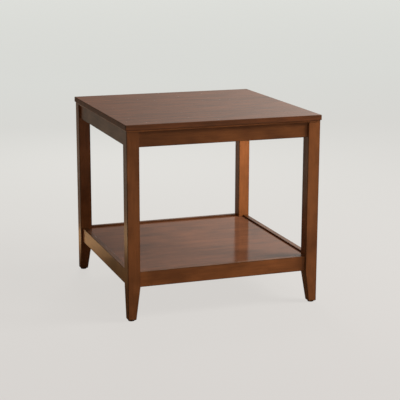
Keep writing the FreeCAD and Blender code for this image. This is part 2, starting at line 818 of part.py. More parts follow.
def make_fasteners():
    dowel = make_dowel()
    group("apron_dowels", dowel, dowel_spots(APRON_BOTTOM, "apron_height"))
    group("shelf_rail_dowels", dowel, dowel_spots("shelf_rail_bottom", "shelf_rail_height"))
    group("hanger_bolts", make_bolt(), diagonal_spots(f"({FLAT_AT} - bolt_in_leg)"))
    group("bolt_washers", make_washer(), diagonal_spots(BLOCK_FAR))
    group("bolt_nuts", make_nut(), diagonal_spots(f"({BLOCK_FAR} + washer_thickness)"))
    top_screw = make_screw("top_screw_pattern", TOP_SCREW_LENGTH)
    seat = f"{LEG_TOP} - top_screw_web"
    group("top_screws", top_screw, [((x, y, seat), UPRIGHT) for x, y in top_screw_centres()])
    block_screw = make_screw("block_screw_pattern", BLOCK_SCREW_LENGTH)
    group(
        "block_screws", block_screw,
        outward_spots(
            f"({RAIL_INNER} + block_screw_web)",
            f"{LEG_TOP} - block_screw_drop",
            lambda side: [
                f"({sign} * ({side['along']} / 2 - top_overhang - block_screw_reach))"
                for sign in (-1, 1)
            ],
        ),
    )
    cleat_screw = make_screw("cleat_screw_pattern", CLEAT_SCREW_LENGTH)
    group(
        "cleat_screws", cleat_screw,
        outward_spots(
            f"({RAIL_INNER} + cleat_width)",
            f"{CLEAT_BOTTOM} + cleat_height / 2",
            lambda side: [f"({step} * cleat_screw_spacing)" for step in (-1, 0, 1)],
        ),
    )
    shelf_screw = make_screw("shelf_screw_pattern", SHELF_SCREW_LENGTH)
    shelf_spots = [
        (side_spot(side, CLEAT_LINE, CLEAT_BOTTOM, f"({sign} * shelf_screw_spacing / 2)"), UPRIGHT)
        for side in SIDES.values()
        for sign in (-1, 1)
    ]
    group("shelf_screws", shelf_screw, shelf_spots)
    nail_spots = [
        (corner_point(corner, ("foot_side / 2", "foot_side / 2", "nail_recess")), UPRIGHT)
        for corner in CORNERS.values()
    ]
    group("glide_nails", make_nail(), nail_spots)


# ---- the whole table -----------------------------------------------------------------------------

make_top()
make_sub_top()
for name, corner in CORNERS.items():
    make_leg(name, corner)
for name, side in SIDES.items():
    make_apron(name, side)
for name, side in SIDES.items():
    make_shelf_rail(name, side)
make_shelf()
for name, side in SIDES.items():
    make_cleat(name, side)
for name, corner in CORNERS.items():
    make_corner_block(name, corner)
for name, corner in CORNERS.items():
    make_glide(name, corner)
make_fasteners()
doc.recompute()

for thing in doc.Objects:
    if {"Invalid", "Error"} & set(thing.State):
        raise RuntimeError(f"{thing.Label} failed: {thing.State}")
for node in nodes:
    if node.Shape.isNull() or not node.Shape.isValid():
        raise RuntimeError(f"{node.Label} has no valid shape")

os.makedirs("parts", exist_ok=True)
for node in nodes:
    node.Shape.exportStep(f"parts/{node.Label}.step")
    print(f"{node.Label}: {len(node.Shape.Solids)} solid(s), {node.Shape.Volume / 1000:.1f} cm3")
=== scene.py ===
"""Looks of the end table with a shelf: stained and lacquered wood, with plain wood and zinc inside."""

import math

import bpy
from mathutils import Euler, Matrix, Vector


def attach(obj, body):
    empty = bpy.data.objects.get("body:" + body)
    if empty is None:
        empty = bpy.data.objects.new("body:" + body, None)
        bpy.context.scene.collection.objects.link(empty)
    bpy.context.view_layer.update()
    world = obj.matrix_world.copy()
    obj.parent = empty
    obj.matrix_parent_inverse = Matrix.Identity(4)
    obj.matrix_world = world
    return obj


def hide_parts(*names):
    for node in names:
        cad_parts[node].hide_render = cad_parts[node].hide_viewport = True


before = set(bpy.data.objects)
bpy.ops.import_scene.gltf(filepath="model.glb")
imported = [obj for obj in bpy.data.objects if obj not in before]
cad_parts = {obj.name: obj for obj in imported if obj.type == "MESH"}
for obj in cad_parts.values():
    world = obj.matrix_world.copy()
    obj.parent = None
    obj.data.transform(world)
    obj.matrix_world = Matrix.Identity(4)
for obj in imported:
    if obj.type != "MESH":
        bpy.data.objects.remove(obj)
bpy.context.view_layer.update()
MM = 0.001

CORNERS = ("front_left", "front_right", "back_right", "back_left")
SIDES = ("front", "right", "back", "left")
GRAIN_OF_SIDE = {"front": "x", "right": "y", "back": "x", "left": "y"}

# How a grain that runs along an axis of the table is turned to run along the pattern's own X.
GRAIN_TURN = {
    "x": (0, 0, 0),
    "y": (0, 0, math.radians(-90)),
    "z": (0, math.radians(90), 0),
}


# ---- helpers for node trees ----------------------------------------------------------------------


def link(tree, source, target):
    """Joins a node's output to another node's input."""
    tree.links.new(source, target)


def fill(tree, socket, value):
    """Feeds an input from another node's output, or gives it a fixed value."""
    if isinstance(value, bpy.types.NodeSocket):
        link(tree, value, socket)
    else:
        socket.default_value = value


def new_node(tree, kind, inputs=None, **properties):
    """Adds a node, sets its properties, then fills its inputs, which go by name or number."""
    node = tree.nodes.new(kind)
    for name, value in properties.items():
        setattr(node, name, value)
    for name, value in (inputs or {}).items():
        fill(tree, node.inputs[name], value)
    return node


def math_node(tree, operation, a, b=None):
    """A Math node whose inputs are sockets or numbers. Returns its output."""
    inputs = {0: a} if b is None else {0: a, 1: b}
    return new_node(tree, "ShaderNodeMath", inputs, operation=operation).outputs[0]


def mix_colours(tree, factor, a, b, blend="MIX"):
    """A Mix node of colours. The factor is a socket or a number, and a and b are sockets or colours."""
    a, b = (side if isinstance(side, bpy.types.NodeSocket) else (*side, 1.0) for side in (a, b))
    inputs = {0: factor, 6: a, 7: b}
    return new_node(tree, "ShaderNodeMix", inputs, data_type="RGBA", blend_type=blend).outputs[2]


def mix_shaders(tree, factor, a, b):
    """Shader a where the factor is 0 and shader b where it is 1. Returns the output."""
    return new_node(tree, "ShaderNodeMixShader", {0: factor, 1: a, 2: b}).outputs["Shader"]


def map_range(tree, value, low, high, to_low, to_high):
    """Maps a socket's range onto another one, clamped. Returns the output."""
    inputs = {"Value": value, "From Min": low, "From Max": high, "To Min": to_low, "To Max": to_high}
    return new_node(tree, "ShaderNodeMapRange", inputs).outputs["Result"]


def stretched_noise(tree, vector, stretch, detail, roughness=0.5, distortion=0.0):
    """Noise whose lumps are 1 / stretch long on each axis, in metres. Returns its value."""
    scaled = new_node(tree, "ShaderNodeVectorMath", {0: vector, 1: stretch}, operation="MULTIPLY")
    inputs = {
        "Vector": scaled.outputs[0],
        "Scale": 1.0,
        "Detail": detail,
        "Roughness": roughness,
        "Distortion": distortion,
    }
    return new_node(tree, "ShaderNodeTexNoise", inputs, noise_dimensions="3D").outputs["Fac"]


def new_group(name, inputs, outputs):
    """A shader node group with named sockets: inputs are (name, kind, default), outputs (name, kind)."""
    group = bpy.data.node_groups.new(name, "ShaderNodeTree")
    for socket_name, kind, default in inputs:
        socket = group.interface.new_socket(socket_name, in_out="INPUT", socket_type=kind)
        if default is not None:
            socket.default_value = default
    for socket_name, kind in outputs:
        group.interface.new_socket(socket_name, in_out="OUTPUT", socket_type=kind)
    return group, group.nodes.new("NodeGroupInput"), group.nodes.new("NodeGroupOutput")


def use_group(tree, group, **inputs):
    """Places a group in a tree. Its inputs are filled by name."""
    return new_node(tree, "ShaderNodeGroup", inputs, node_tree=group)


# ---- shared effects ------------------------------------------------------------------------------

# How far rubbed edges and the shade painted along the arrises reach in from them.
WEAR_RADIUS = 2.2 * MM
ARRIS_SHADE_RADIUS = 4.5 * MM


def make_wood_figure():
    """Straight-grained wood along X.

    Tone is 0 in dark streaks and 1 in light ones, Pores marks the short dark dashes, and Height is the
    relief of the fibres with the pores sunk into it.
    """
    group, given, result = new_group(
        "wood figure",
        [
            ("Vector", "NodeSocketVector", None),
            ("Bands", "NodeSocketFloat", 0.5),
            ("Streaks", "NodeSocketFloat", 0.5),
            ("Mottle", "NodeSocketFloat", 0.5),
        ],
        [("Tone", "NodeSocketFloat"), ("Pores", "NodeSocketFloat"), ("Height", "NodeSocketFloat")],
    )
    vector = given.outputs["Vector"]
    fibres = stretched_noise(group, vector, (22, 1300, 1300), detail=1.0)
    bands = stretched_noise(group, vector, (2.2, 30, 30), detail=3.0, distortion=0.6)
    streaks = stretched_noise(group, vector, (12, 170, 170), detail=3.0, roughness=0.6)
    mottle = stretched_noise(group, vector, (9, 14, 14), detail=2.0, roughness=0.6)

    # Each layer swings the tone to both sides of its middle.
    tone = 0.5
    for layer, amount in (
        (bands, given.outputs["Bands"]),
        (streaks, given.outputs["Streaks"]),
        (mottle, given.outputs["Mottle"]),
        (fibres, 0.4),
    ):
        swing = math_node(group, "MULTIPLY", math_node(group, "SUBTRACT", layer, 0.5), amount)
        tone = math_node(group, "ADD", swing, tone)
    tone = math_node(group, "MAXIMUM", math_node(group, "MINIMUM", tone, 1.0), 0.0)
    link(group, tone, result.inputs["Tone"])

    pores = stretched_noise(group, vector, (70, 2600, 2600), detail=1.0)
    dashes = map_range(group, pores, 0.60, 0.70, 0.0, 1.0)
    link(group, dashes, result.inputs["Pores"])
    raised = math_node(group, "SUBTRACT", fibres, math_node(group, "MULTIPLY", dashes, 0.6))
    link(group, raised, result.inputs["Height"])
    return group


def new_edge_group(name, radius):
    """Begins a group for a mask of the edges. Its last value is the normal, rounded within the radius."""
    group, given, result = new_group(
        name,
        [("Vector", "NodeSocketVector", None), ("Amount", "NodeSocketFloat", 0.5)],
        [("Mask", "NodeSocketFloat")],
    )
    bevel = new_node(group, "ShaderNodeBevel", {"Radius": radius}, samples=6)
    return group, given, result, bevel.outputs["Normal"]


def end_edge_group(group, given, result, edge, thinnest):
    """Ends such a group: the edge is thinned in patches, down to its thinnest, and takes the amount."""
    patches = stretched_noise(group, given.outputs["Vector"], (60, 60, 60), detail=3.0, roughness=0.6)
    patchy = map_range(group, patches, 0.35, 0.65, thinnest, 1.0)
    mask = math_node(group, "MULTIPLY", edge, patchy)
    link(group, math_node(group, "MULTIPLY", mask, given.outputs["Amount"]), result.inputs["Mask"])


def make_edge_wear():
    """Patchy mask of the sharp edges, where the rounded normal turns away from the face's own."""
    group, given, result, rounded = new_edge_group("edge wear", WEAR_RADIUS)
    own = new_node(group, "ShaderNodeNewGeometry").outputs["True Normal"]
    turned = new_node(group, "ShaderNodeVectorMath", {0: rounded, 1: own}, operation="DOT_PRODUCT")
    edge = map_range(group, turned.outputs["Value"], 0.995, 0.80, 0.0, 1.0)
    end_edge_group(group, given, result, edge, 0.25)
    return group


def make_arris_shade_mask():
    """Patchy mask of a board's arrises, where shade is painted, for boards whose faces are square to the
    table.
    """
    group, given, result, rounded = new_edge_group("painted arris shade", ARRIS_SHADE_RADIUS)
    facing = new_node(group, "ShaderNodeSeparateXYZ", {0: rounded})
    x, y, z = (math_node(group, "ABSOLUTE", facing.outputs[axis]) for axis in "XYZ")
    squareness = math_node(group, "MAXIMUM", math_node(group, "MAXIMUM", x, y), z)
    edge = map_range(group, squareness, 0.996, 0.93, 0.0, 1.0)
    end_edge_group(group, given, result, edge, 0.6)
    return group


WOOD_FIGURE = make_wood_figure()
EDGE_WEAR = make_edge_wear()
ARRIS_SHADE_MASK = make_arris_shade_mask()


# ---- colours and finishes ------------------------------------------------------------------------

# Stains: (in dark streaks, in light streaks, on the arrises, where it is darker as painted shade).
FRAME_STAIN = ((0.125, 0.0390, 0.0108), (0.231, 0.0735, 0.0205), (0.048, 0.0165, 0.0055))
PANEL_STAIN = ((0.100, 0.0450, 0.0250), (0.212, 0.0780, 0.0360), (0.070, 0.028, 0.012))

# Pieces of the frame made lighter (above 1) or darker (below 1) than the rest. Most took the stain so,
# but the sub-top's lightness is painted light, the left apron's darkness is painted shade, and the back
# right leg's lightness is partly painted light.
LIGHTNESS_AND_PAINTED_LIGHT = {
    # Painted light: the sub-top lies in the slab's shade and is made lighter to look lit.
    "sub_top": 1.7,
    "apron_front": 0.9,
    "shelf_rail_front": 1.2,
    # Painted shade: the left apron is made darker to look like the table's shaded left side.
    "apron_left": 0.85,
    "leg_front_right": 1.03,
    "leg_back_left": 1.05,
    # Partly painted light: the back right leg is made lighter to look like its lit front.
    "leg_back_right": 1.15,
}

# Where the wood figure is cut for the pieces seen first. The other stained pieces go by their place in
# the row of stained pieces, and the plain ones by the numbers below.
FIGURE_NUMBER = {
    "table_top": 21,
    "shelf_panel": 43,
    "leg_front_left": 173,
    "leg_front_right": 11,
    "leg_back_right": 86,
    "leg_back_left": 17,
    "apron_front": 28,
    "shelf_rail_front": 42,
}
FIRST_BLOCK_NUMBER = 4
FIRST_CLEAT_NUMBER = 16
DOWEL_NUMBER = 20

# How far the figure moves on each axis from one number to the next, in metres.
STAINED_STEP = (0.37, 0.81, 0.53)
PLAIN_STEP = (0.41, 0.67, 0.29)

# Finishes: how much the arrises are darkened as painted shade, the strength of the figure's bands,
# streaks and mottling, the tint on level and on upright faces, which is painted light and shade,
# the lacquer's weight on level and on upright faces, the lacquer's roughness (haze) and the shine
# of the wood under it.
SOLID_WOOD = {
    "edges": 0.75,
    "figure": (0.5, 1.1, 2.4),
    "level_painted_tint": (0.70, 0.78, 0.85),
    "level_coat": 0.28,
    "upright_painted_tint": (1.0, 1.0, 1.0),
    "upright_coat": 0.14,
    "haze": 0.16,
    "specular": 0.1,
}
SHELF_VENEER = {
    "edges": 0.7,
    "figure": (0.8, 1.2, 1.2),
    "level_painted_tint": (1.0, 1.0, 1.0),
    "level_coat": 0.48,
    "upright_painted_tint": (0.88, 0.74, 0.58),
    "upright_coat": 0.12,
    "haze": 0.12,
    "specular": 0.0,
}
TOP_VENEER = {**SHELF_VENEER, "edges": 0.45, "figure": (0.8, 2.0, 0.6), "upright_coat": 0.22}

# A face is level where its normal's height is above the first number, and upright below the second.
LEVEL_TO_UPRIGHT = (0.5, 0.2)

# Pores in the stain: how strongly they show, and how dark they are beside the dark streaks.
PORE_STRENGTH = 0.35
PORE_SHADE = 0.35

# Roughness under the lacquer, in dark streaks and in light ones.
STAINED_ROUGHNESS = (0.46, 0.40)
LACQUER_IOR = 1.5

PLAIN_DARK = (0.42, 0.27, 0.14)
PLAIN_LIGHT = (0.68, 0.50, 0.30)
PLAIN_RUBBED = (0.85, 0.625, 0.375)
PLAIN_PORE_STRENGTH = 0.3
PLAIN_ROUGHNESS = 0.72

ZINC_DULL = (0.50, 0.50, 0.47)
ZINC_BRIGHT = (0.72, 0.70, 0.62)
ZINC_RUBBED = (0.86, 0.85, 0.82)
ZINC_ROUGHNESS = (0.28, 0.46)

PLASTIC_DARK = (0.040, 0.026, 0.018)
PLASTIC_SCUFFED = (0.085, 0.066, 0.050)
PLASTIC_RUBBED = (0.14, 0.12, 0.10)
PLASTIC_ROUGHNESS = (0.50, 0.66)


# ---- materials -----------------------------------------------------------------------------------


def new_material(name):
    """A material with nodes, its tree and its Principled shader."""
    material = bpy.data.materials.new(name)
    material.use_nodes = True
    return material, material.node_tree, material.node_tree.nodes["Principled BSDF"]


def object_vector(tree, turn=(0, 0, 0), shift=(0, 0, 0)):
    """Object coordinates, turned and shifted."""
    place = new_node(tree, "ShaderNodeTexCoord").outputs["Object"]
    inputs = {"Vector": place, "Location": shift, "Rotation": turn}
    return new_node(tree, "ShaderNodeMapping", inputs).outputs["Vector"]


def bump(tree, shader, height, strength, distance):
    """Gives a shader a relief. A height of 1 stands out by the distance."""
    inputs = {"Height": height, "Strength": strength, "Distance": distance}
    relief = new_node(tree, "ShaderNodeBump", inputs)
    link(tree, relief.outputs["Normal"], shader.inputs["Normal"])


def stained_wood(name, grain, number, stain, finish):
    """Dark stained wood under satin lacquer. The number moves the figure, so no two pieces match."""
    dark, light, arris = stain
    bands, streaks, mottle = finish["figure"]
    material, tree, shader = new_material(name)
    vector = object_vector(tree, GRAIN_TURN[grain], [step * number for step in STAINED_STEP])
    figure = use_group(tree, WOOD_FIGURE, Vector=vector, Bands=bands, Streaks=streaks, Mottle=mottle)
    edges = use_group(tree, ARRIS_SHADE_MASK, Vector=vector, Amount=finish["edges"])

    normal = new_node(tree, "ShaderNodeNewGeometry").outputs["Normal"]
    facing = new_node(tree, "ShaderNodeSeparateXYZ", {0: normal})
    levelness = math_node(tree, "ABSOLUTE", facing.outputs["Z"])
    upright = map_range(tree, levelness, *LEVEL_TO_UPRIGHT, 0.0, 1.0)

    colour = mix_colours(tree, figure.outputs["Tone"], dark, light)
    pores = math_node(tree, "MULTIPLY", figure.outputs["Pores"], PORE_STRENGTH)
    colour = mix_colours(tree, pores, colour, [PORE_SHADE * channel for channel in dark])
    # Painted light and shade: level and upright faces take their own tints, as if lit differently.
    painted_tint = mix_colours(tree, upright, finish["level_painted_tint"], finish["upright_painted_tint"])
    colour = mix_colours(tree, 1.0, colour, painted_tint, blend="MULTIPLY")
    # Painted shade: the arrises are darkened.
    colour = mix_colours(tree, edges.outputs["Mask"], colour, arris)
    link(tree, colour, shader.inputs["Base Color"])

    rough = map_range(tree, figure.outputs["Tone"], 0.0, 1.0, *STAINED_ROUGHNESS)
    link(tree, rough, shader.inputs["Roughness"])
    coat = map_range(tree, upright, 0.0, 1.0, finish["level_coat"], finish["upright_coat"])
    link(tree, coat, shader.inputs["Coat Weight"])
    shader.inputs["Specular IOR Level"].default_value = finish["specular"]
    shader.inputs["Coat Roughness"].default_value = finish["haze"]
    shader.inputs["Coat IOR"].default_value = LACQUER_IOR
    bump(tree, shader, figure.outputs["Height"], strength=0.25, distance=0.06 * MM)
    return material


def plain_wood(name, grain, number):
    """Planed wood without a finish."""
    material, tree, shader = new_material(name)
    vector = object_vector(tree, GRAIN_TURN[grain], [step * number for step in PLAIN_STEP])
    figure = use_group(tree, WOOD_FIGURE, Vector=vector, Bands=1.2, Streaks=0.9, Mottle=0.9)
    wear = use_group(tree, EDGE_WEAR, Vector=vector, Amount=0.5)
    colour = mix_colours(tree, figure.outputs["Tone"], PLAIN_DARK, PLAIN_LIGHT)
    pores = math_node(tree, "MULTIPLY", figure.outputs["Pores"], PLAIN_PORE_STRENGTH)
    colour = mix_colours(tree, pores, colour, PLAIN_DARK)
    colour = mix_colours(tree, wear.outputs["Mask"], colour, PLAIN_RUBBED)
    link(tree, colour, shader.inputs["Base Color"])
    shader.inputs["Roughness"].default_value = PLAIN_ROUGHNESS
    bump(tree, shader, figure.outputs["Height"], strength=0.5, distance=0.15 * MM)
    return material


def zinc_plate(name):
    """Zinc-plated steel, slightly cloudy, brighter where its edges are rubbed."""
    material, tree, shader = new_material(name)
    vector = object_vector(tree)
    clouds = stretched_noise(tree, vector, (170, 170, 170), detail=4.0, roughness=0.6)
    grit = stretched_noise(tree, vector, (2400, 2400, 2400), detail=1.0)
    wear = use_group(tree, EDGE_WEAR, Vector=vector, Amount=0.8)
    colour = mix_colours(tree, clouds, ZINC_DULL, ZINC_BRIGHT)
    colour = mix_colours(tree, wear.outputs["Mask"], colour, ZINC_RUBBED)
    link(tree, colour, shader.inputs["Base Color"])
    link(tree, map_range(tree, clouds, 0.3, 0.7, *ZINC_ROUGHNESS), shader.inputs["Roughness"])
    shader.inputs["Metallic"].default_value = 1.0
    bump(tree, shader, grit, strength=0.2, distance=0.03 * MM)
    return material


def moulded_plastic(name):
    """Dark moulded plastic of the glides, scuffed pale where it rubs on the floor."""
    material, tree, shader = new_material(name)
    vector = object_vector(tree)
    texture = stretched_noise(tree, vector, (1500, 1500, 1500), detail=2.0)
    scratches = stretched_noise(tree, vector, (90, 420, 300), detail=3.0, roughness=0.65)
    wear = use_group(tree, EDGE_WEAR, Vector=vector, Amount=0.7)
    scuffs = map_range(tree, scratches, 0.5, 0.75, 0.0, 1.0)
    colour = mix_colours(tree, scuffs, PLASTIC_DARK, PLASTIC_SCUFFED)
    colour = mix_colours(tree, wear.outputs["Mask"], colour, PLASTIC_RUBBED)
    link(tree, colour, shader.inputs["Base Color"])
    link(tree, map_range(tree, texture, 0.3, 0.7, *PLASTIC_ROUGHNESS), shader.inputs["Roughness"])
    bump(tree, shader, texture, strength=0.3, distance=0.04 * MM)
    return material


def stain_with_painted_light(node):
    """The frame's stain, as light or dark as one of its pieces has it, with painted light and shade on
    some pieces.
    """
    lightness = LIGHTNESS_AND_PAINTED_LIGHT.get(node, 1.0)
    return [tuple(lightness * channel for channel in colour) for colour in FRAME_STAIN]


def stained_pieces():
    """(node, grain, stain, finish) of each stained piece."""
    yield "table_top", "x", PANEL_STAIN, TOP_VENEER
    yield "sub_top", "x", stain_with_painted_light("sub_top"), SOLID_WOOD
    yield "shelf_panel", "x", PANEL_STAIN, SHELF_VENEER
    for corner in CORNERS:
        yield f"leg_{corner}", "z", stain_with_painted_light(f"leg_{corner}"), SOLID_WOOD
    for part in ("apron", "shelf_rail"):
        for side in SIDES:
            yield f"{part}_{side}", GRAIN_OF_SIDE[side], stain_with_painted_light(f"{part}_{side}"), SOLID_WOOD


def finish_nodes():
    """Gives every sub-part of the table its finish."""
    finishes = {}
    for place, (node, grain, stain, finish) in enumerate(stained_pieces()):
        number = FIGURE_NUMBER.get(node, place)
        finishes[node] = stained_wood(f"{node} lacquer", grain, number, stain, finish)
    for number, corner in enumerate(CORNERS, FIRST_BLOCK_NUMBER):
        block = f"corner_block_{corner}"
        finishes[block] = plain_wood(f"{block} wood", "z", number)
        finishes[f"glide_{corner}"] = moulded_plastic(f"glide_{corner} plastic")
    for number, side in enumerate(SIDES, FIRST_CLEAT_NUMBER):
        cleat = f"shelf_cleat_{side}"
        finishes[cleat] = plain_wood(f"{cleat} wood", GRAIN_OF_SIDE[side], number)
    for dowels in ("apron_dowels", "shelf_rail_dowels"):
        finishes[dowels] = plain_wood(f"{dowels} wood", "x", DOWEL_NUMBER)
    zinc = zinc_plate("zinc plate")
    for hardware in (
        "hanger_bolts", "bolt_washers", "bolt_nuts", "top_screws", "block_screws",
        "cleat_screws", "shelf_screws", "glide_nails",
    ):
        finishes[hardware] = zinc
    for node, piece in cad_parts.items():
        for slot in piece.material_slots:
            slot.material = finishes[node]


# ---- threaded hardware ---------------------------------------------------------------------------

# The bolts lie on the corners' diagonals. Distances run inwards from the leg's outer arris, in metres.
ARRIS_AT = 0.3016
BOLT_HEIGHT = 0.5445
BOLT_FROM = 0.02093
NUT_FROM = 0.07353
INWARDS = {"front_left": (1, 1), "front_right": (-1, 1), "back_right": (-1, -1), "back_left": (1, -1)}

# How far the nuts are turned on their bolts, so that they fill the same box as the plain ones.
NUT_TURN = math.radians(15)

# Steps of a thread in one turn, the distance in millimetres at which seams merge, and the angle
# under which faces are shaded smooth.
THREAD_STEPS = 24
SEAM = 0.0005
SMOOTH_UNDER = math.radians(32)


def draw_profile(points):
    """An object whose edges run through (radius, height) points, in millimetres in its own XZ plane."""
    bpy.ops.object.select_all(action="DESELECT")
    bpy.ops.mesh.primitive_plane_add(size=1)
    bpy.ops.object.mode_set(mode="EDIT")
    # The plane shrinks to one point, which is drawn out from place to place.
    bpy.ops.mesh.merge(type="CENTER")
    places = [Vector((radius, 0, height)) for radius, height in points]
    bpy.ops.transform.translate(value=places[0])
    for before, after in zip(places, places[1:]):
        bpy.ops.mesh.extrude_region_move(TRANSFORM_OT_translate={"value": after - before})
    bpy.ops.mesh.select_all(action="SELECT")
    return bpy.context.object


def merge_seams():
    """Merges the points that meet in the mesh being edited."""
    bpy.ops.mesh.select_all(action="SELECT")
    bpy.ops.mesh.remove_doubles(threshold=SEAM)


def close_mesh():
    """Merges the seams of the mesh being edited, turns its faces outwards and leaves edit mode."""
    merge_seams()
    bpy.ops.mesh.normals_make_consistent(inside=False)
    bpy.ops.object.mode_set(mode="OBJECT")


def turn_on_lathe(points):
    """A closed turned piece from its outline, which starts and ends on the axis."""
    piece = draw_profile(points)
    bpy.ops.mesh.spin(steps=2 * THREAD_STEPS, angle=math.tau, center=(0, 0, 0), axis=(0, 0, 1))
    close_mesh()
    return piece


def apply_modifier(piece, kind, **settings):
    """Gives a piece a modifier and applies it."""
    bpy.context.view_layer.objects.active = piece
    modifier = piece.modifiers.new(kind.lower(), kind)
    for name, value in settings.items():
        setattr(modifier, name, value)
    bpy.ops.object.modifier_apply(modifier=modifier.name)


def combine(piece, other, operation):
    """Joins another piece to one, trims the one to it or cuts it out. The other one is used up."""
    apply_modifier(piece, "BOOLEAN", object=other, operation=operation, solver="EXACT")
    bpy.data.objects.remove(other)


def cut_thread(low, high, pitch, crest, root, flat):
    """A closed screw thread between two heights. Flat is the share of the pitch that its crest takes."""
    groove = 0.25
    flank = (1 - flat - groove) / 2
    outline = (
        (root, 0),
        (root, groove),
        (crest, groove + flank),
        (crest, groove + flank + flat),
        (root, 1),
    )
    piece = draw_profile([(radius, low - pitch + pitch * step) for radius, step in outline])
    bpy.ops.object.mode_set(mode="OBJECT")
    # The thread runs on past both heights and is then cut off there.
    turns = math.ceil((high - low) / pitch) + 2
    apply_modifier(
        piece, "SCREW", axis="Z", angle=math.tau, screw_offset=pitch, iterations=turns,
        steps=THREAD_STEPS, render_steps=THREAD_STEPS, use_merge_vertices=False,
    )
    bpy.ops.object.mode_set(mode="EDIT")
    merge_seams()
    for height, side in ((low, "clear_inner"), (high, "clear_outer")):
        bpy.ops.mesh.select_all(action="SELECT")
        bpy.ops.mesh.bisect(plane_co=(0, 0, height), plane_no=(0, 0, 1), use_fill=True, **{side: True})
    close_mesh()
    return piece


def make_bolt():
    """Hanger bolt: a wood-screw thread to its point, a plain neck and a machine thread to the end."""
    radius, end, taper, chamfer = 3.98, 64.1, 5.0, 1
    neck_from, neck_to, neck_radius = 27.5, 31.5, 3.6
    crest, spare, run_out = 4.0, 1.0, 0.4

    bolt = cut_thread(-spare, neck_from, pitch=3.0, crest=crest, root=2.75, flat=0.06)
    stop = neck_from - run_out
    blank = turn_on_lathe([(0, 0), (radius, taper), (radius, stop), (0, stop)])
    combine(bolt, blank, "INTERSECT")

    machine = cut_thread(neck_to, end + spare, pitch=1.25, crest=crest, root=3.25, flat=0.125)
    start = neck_to + run_out
    blank = turn_on_lathe(
        [(0, start), (radius, start), (radius, end - chamfer), (radius - chamfer, end), (0, end)]
    )
    combine(machine, blank, "INTERSECT")

    low, high = neck_from - spare, neck_to + spare
    neck = turn_on_lathe([(0, low), (neck_radius, low), (neck_radius, high), (0, high)])
    combine(bolt, machine, "UNION")
    combine(bolt, neck, "UNION")
    return bolt


def make_nut():
    """Hexagon nut with turned-down corners and a countersunk bore."""
    flats, height, bore, sink = 13.0, 6.5, 4.1, 0.5
    face, fall, clear, spare = 6.2, 0.75, 0.05, 1
    corner = flats / 2 / math.cos(math.pi / 6)
    middle = (0, 0, height / 2)
    bpy.ops.object.select_all(action="DESELECT")
    bpy.ops.mesh.primitive_cylinder_add(vertices=6, radius=corner, depth=height, location=middle)
    nut = bpy.context.object
    bpy.ops.object.transform_apply(location=True, rotation=True, scale=True)

    wide = corner + clear
    barrel = [(0, 0), (face, 0), (wide, fall), (wide, height - fall), (face, height), (0, height)]
    combine(nut, turn_on_lathe(barrel), "INTERSECT")

    mouth = bore + sink
    reamer = [
        (0, -spare), (mouth, -spare), (mouth, 0), (bore, sink), (bore, height - sink),
        (mouth, height), (mouth, height + spare), (0, height + spare),
    ]
    combine(nut, turn_on_lathe(reamer), "DIFFERENCE")
    return nut


def fit_at_corners(pattern, name, distance, node, turn):
    """Copies a pattern, drawn in millimetres, to each corner's diagonal, where it replaces a CAD node."""
    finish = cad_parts[node].material_slots[0].material
    for corner, (x, y) in INWARDS.items():
        inwards = Vector((x, y, 0)).normalized()
        piece = pattern.copy()
        piece.data = pattern.data.copy()
        piece.name = f"{name}_{corner}"
        bpy.context.scene.collection.objects.link(piece)
        place = Vector((-x * ARRIS_AT, -y * ARRIS_AT, BOLT_HEIGHT)) + distance * inwards
        turned = inwards.to_track_quat("Z", "Y") @ Euler((0, 0, turn)).to_quaternion()
        piece.matrix_world = Matrix.LocRotScale(place, turned, Vector((MM, MM, MM)))
        bpy.ops.object.select_all(action="DESELECT")
        piece.select_set(True)
        bpy.context.view_layer.objects.active = piece
        bpy.ops.object.transform_apply(location=True, rotation=True, scale=True)
        bpy.ops.object.shade_smooth_by_angle(angle=SMOOTH_UNDER)
        piece.data.materials.clear()
        piece.data.materials.append(finish)
        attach(piece, "root")
        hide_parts(node)
    bpy.data.objects.remove(pattern)


# ---- studio --------------------------------------------------------------------------------------

WHITE = (1.0, 1.0, 1.0)
BACKDROP = (0.745, 0.755, 0.718)

# The floor's colour runs from near to far between these places in Y. It fades into the backdrop
# between two distances from the middle.
FLOOR_NEAR = (0.750, 0.720, 0.692)
FLOOR_FAR = (0.790, 0.798, 0.764)
FLOOR_TONE_REACH = (-1.0, 5.0)
FLOOR_RADIUS = 24.0
FLOOR_FADE = (6.0, 20.0)
FLOOR_ROUGHNESS = 0.9

# How much of the floor's look comes from the light on it, and how much light it throws back.
SHADOW_SHARE = 0.14
FLOOR_BOUNCE = 0.5

# Gloss sees this share of the floor's own colour. What it sees is tinted darker and warmer near the
# table, which paints the table's shade on the floor into reflections, less so further off.
FLOOR_GLOSS_SHARE = 0.5
REFLECTED_SHADE_NEAR = (0.25, 0.17, 0.08)
REFLECTED_SHADE_FAR = (0.96, 0.95, 0.80)
REFLECTED_SHADE_REACH = (0.45, 1.80)

# Light of the surroundings: (direction, tightness, strength), over a base from all sides.
SOFT_LIGHT = (((-0.6, 0.8, 0.1), 6.0, 0.415),)
SOFT_LIGHT_BASE = 0.15
REFLECTED_LIGHT = (
    ((0.61, 0.75, 0.24), 30.0, 1.98),
    ((0.45, 0.87, 0.25), 30.0, 0.54),
    ((-0.2, -0.95, 0.2), 3.0, 0.5),
)
REFLECTED_LIGHT_BASE = 0.05

